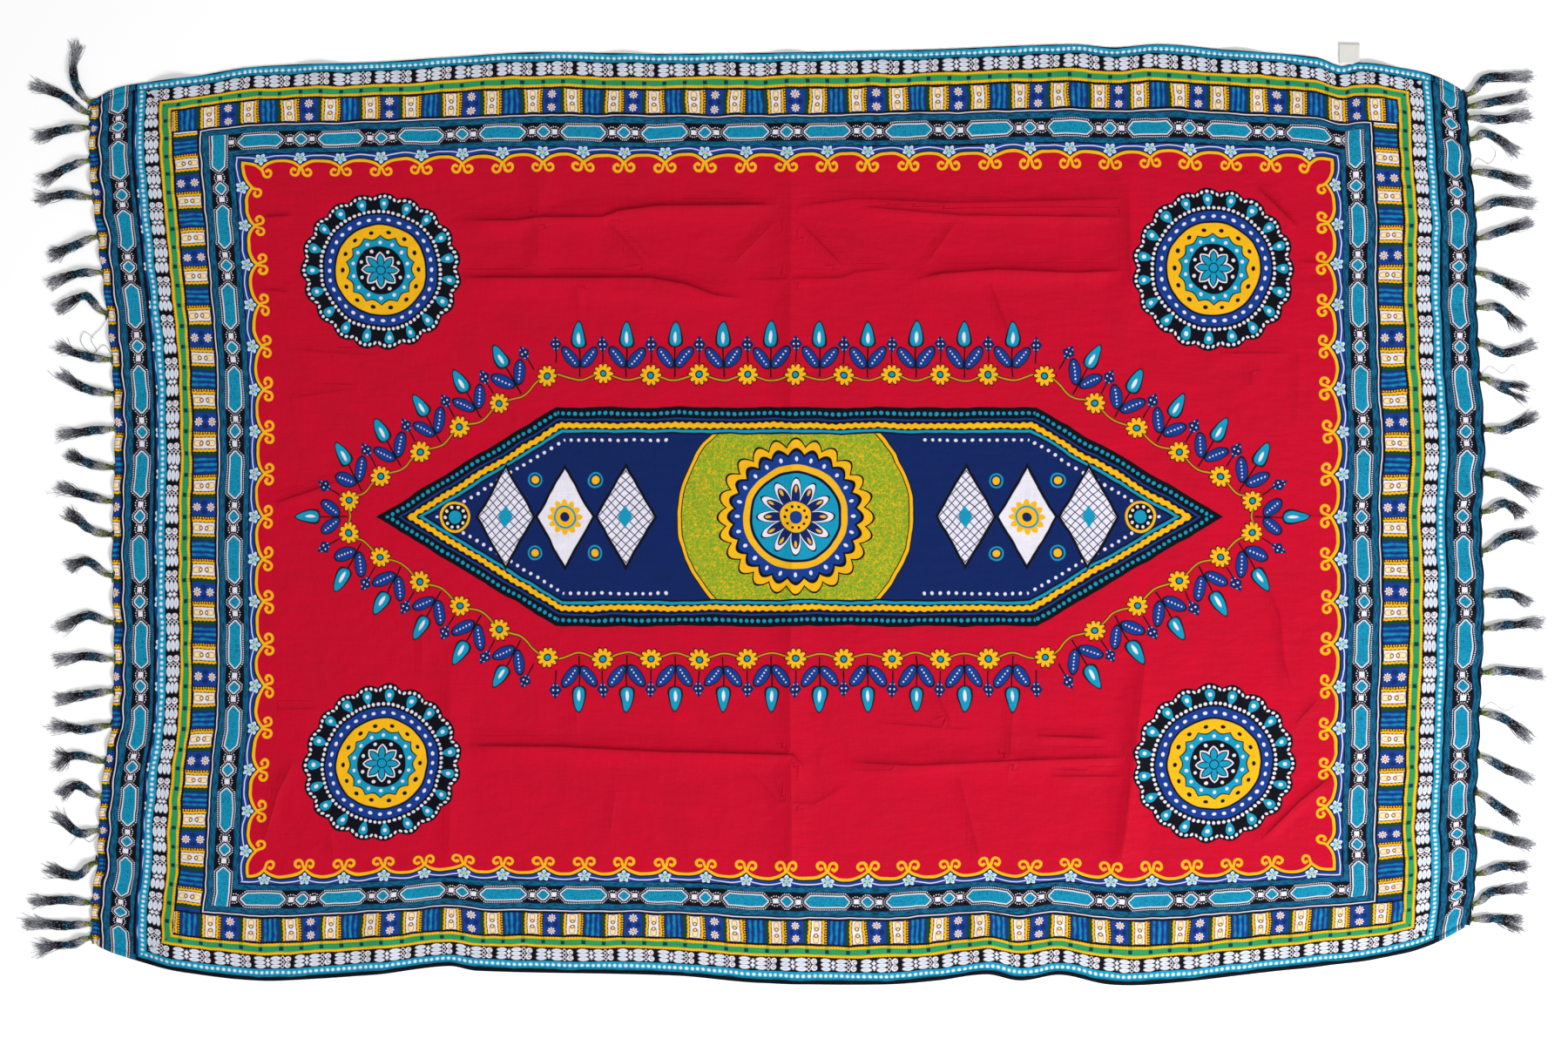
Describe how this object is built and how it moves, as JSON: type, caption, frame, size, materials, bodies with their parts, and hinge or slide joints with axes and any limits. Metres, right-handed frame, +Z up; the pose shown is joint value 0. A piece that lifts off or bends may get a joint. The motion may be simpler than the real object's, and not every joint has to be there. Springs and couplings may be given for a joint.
{
  "type": "sarong",
  "caption": "Length of printed cloth laid flat, with a narrow rolled hem on each long edge and a row of twisted tassels on each end, to wrap round the body.",
  "frame": {"origin": "Middle of the bounding box on the surface that the cloth lies on.", "axes": "+X along the cloth from the left fringe to the right fringe, +Y across it towards the hem that holds the label, +Z up."},
  "size_m": [1.8276, 1.1358, 0.0074],
  "materials": {
    "cloth": "printed rayon, fine plain weave, soft matt sheen",
    "hem": "rolled and stitched rayon edge",
    "tassel": "hand-twisted rayon yarn, fraying at the tips",
    "label": "satin woven tape"
  },
  "bodies": {
    "root": {"cloth": "cloth", "hem_back": "hem", "hem_front": "hem", "fringe_left": "tassel", "fringe_right": "tassel", "label": "label"}
  },
  "joints": []
}
